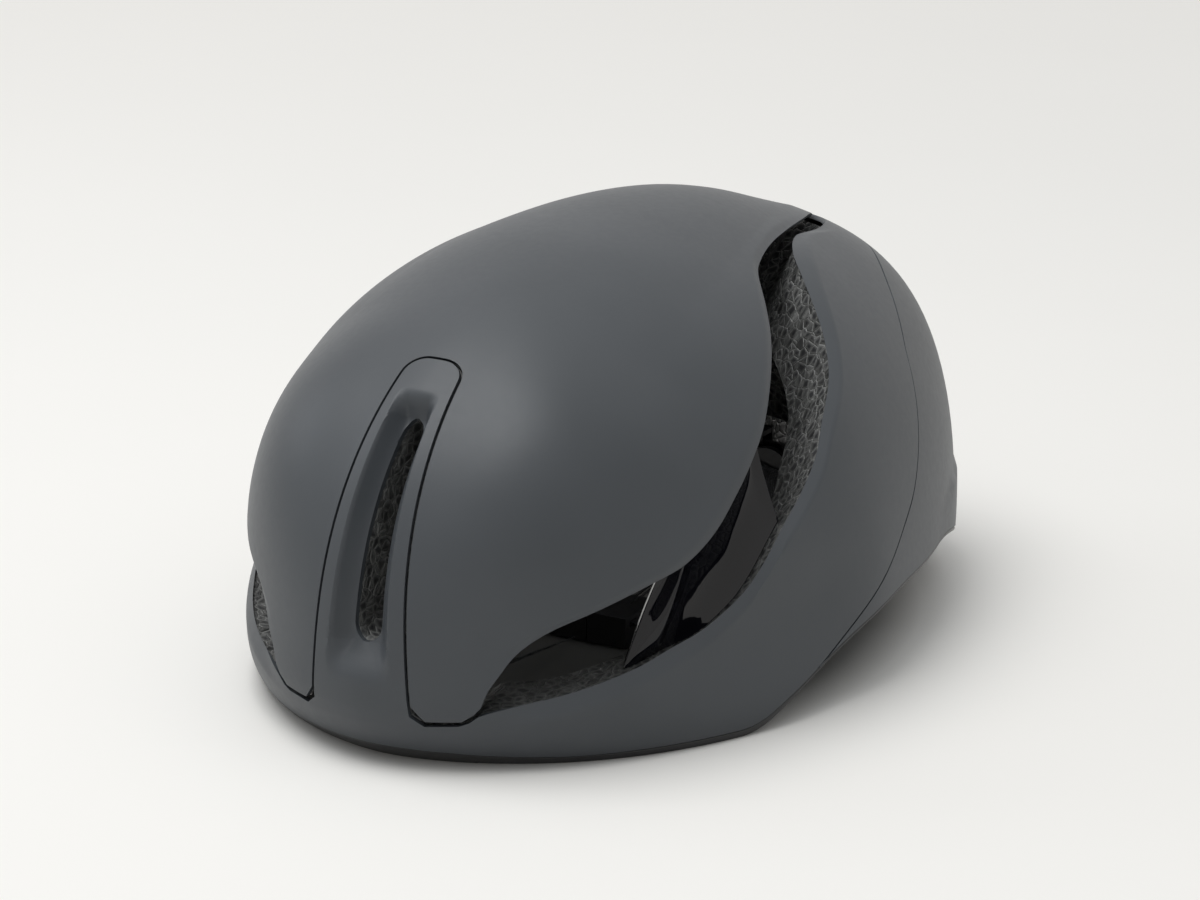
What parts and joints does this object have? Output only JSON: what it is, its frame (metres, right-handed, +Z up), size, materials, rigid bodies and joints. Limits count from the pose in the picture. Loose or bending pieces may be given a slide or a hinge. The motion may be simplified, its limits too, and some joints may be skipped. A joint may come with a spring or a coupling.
{
  "type": "road bike helmet",
  "caption": "Closed-crown road bike helmet with a front slot, crescent side vents, an inner dial-adjusted fit cradle, comfort pads, chin straps and a magnetic buckle.",
  "frame": {"origin": "middle of the helmet's footprint, on the plane that its rim rests on", "axes": "+Z up through the crown; the front faces -Y, so +Y runs to the tail; +X is the wearer's left"},
  "size_m": [0.2034, 0.288, 0.1385],
  "materials": {
    "shell": "matte charcoal paint over a moulded polycarbonate skin",
    "foam": "black expanded polystyrene with its bead cells showing",
    "bridge": "high gloss black",
    "trim": "satin black",
    "pad": "black brushed knit over soft foam",
    "webbing": "black woven polyester",
    "fittings": "black moulded nylon",
    "hook_disc": "black hook tape",
    "steel": "bright steel"
  },
  "bodies": {
    "helmet": {"top_shell": "shell", "lower_shell": "shell", "rear_shell": "shell", "rim_trim": "trim", "crown_foam": "foam", "base_foam": "foam", "vent_bridge_left": "bridge", "vent_bridge_right": "bridge", "brow_pad": "pad", "crown_pad_left": "pad", "crown_pad_right": "pad", "side_pad_left": "pad", "side_pad_right": "pad", "pad_fasteners": "hook_disc", "temple_anchor_left": "fittings", "temple_anchor_right": "fittings", "strap_anchors_front": "fittings", "strap_anchors_rear": "fittings", "front_strap_left": "webbing", "front_strap_right": "webbing", "rear_strap_left": "webbing", "rear_strap_right": "webbing", "strap_divider_left": "fittings", "strap_divider_right": "fittings", "chin_strap_left": "webbing", "chin_strap_right": "webbing", "buckle_socket": "fittings", "socket_magnet": "steel"},
    "fit_frame": {"temple_link_left": "fittings", "temple_link_right": "fittings", "arm_pins": "steel"},
    "arm_left": {"fit_arm_left": "fittings"},
    "arm_right": {"fit_arm_right": "fittings"},
    "cradle": {"cradle": "fittings", "dial_housing": "fittings", "dial_cover": "fittings", "click_ring": "steel", "nape_pad_left": "pad", "nape_pad_right": "pad"},
    "dial": {"dial_pinion": "fittings", "dial_knob": "fittings", "dial_screw": "steel"},
    "plug": {"buckle_plug": "fittings", "plug_magnet": "steel"},
    "lever_left": {"divider_lever_left": "fittings"},
    "lever_right": {"divider_lever_right": "fittings"}
  },
  "joints": [
    {"name": "cradle_tilt", "type": "hinge", "parent": "helmet", "child": "fit_frame", "pos_m": [0, -0.014, 0.039], "axis": [1, 0, 0], "range_deg": [-6, 5]},
    {"name": "arm_left_swing", "type": "hinge", "parent": "fit_frame", "child": "arm_left", "pos_m": [0.07107, 0, 0.039], "axis": [0, 0, 1], "range_deg": [0, 5.01]},
    {"name": "arm_right_swing", "type": "hinge", "parent": "fit_frame", "child": "arm_right", "pos_m": [-0.07107, 0, 0.039], "axis": [0, 0, -1], "range_deg": [0, 5.01]},
    {"name": "cradle_slide", "type": "slide", "parent": "fit_frame", "child": "cradle", "axis": [0, -1, 0], "range_m": [0, 0.00649]},
    {"name": "dial_turn", "type": "hinge", "parent": "cradle", "child": "dial", "pos_m": [0, 0.079, 0.039], "axis": [0, -1, 0], "range_deg": [0, 120]},
    {"name": "plug_slide", "type": "slide", "parent": "helmet", "child": "plug", "axis": [1, 0, 0], "range_m": [0, 0.012]},
    {"name": "lever_left_turn", "type": "hinge", "parent": "helmet", "child": "lever_left", "pos_m": [0.0616, 0.004, 0.0075], "axis": [0, 1, 0], "range_deg": [0, 80]},
    {"name": "lever_right_turn", "type": "hinge", "parent": "helmet", "child": "lever_right", "pos_m": [-0.0616, 0.004, 0.0075], "axis": [0, -1, 0], "range_deg": [0, 80]}
  ],
  "couplings": [
    {"joint": "dial_turn", "follows": "cradle_slide", "rad_per_m": 322.56},
    {"joint": "arm_left_swing", "follows": "cradle_slide", "rad_per_m": 13.438},
    {"joint": "arm_right_swing", "follows": "cradle_slide", "rad_per_m": 13.438}
  ]
}
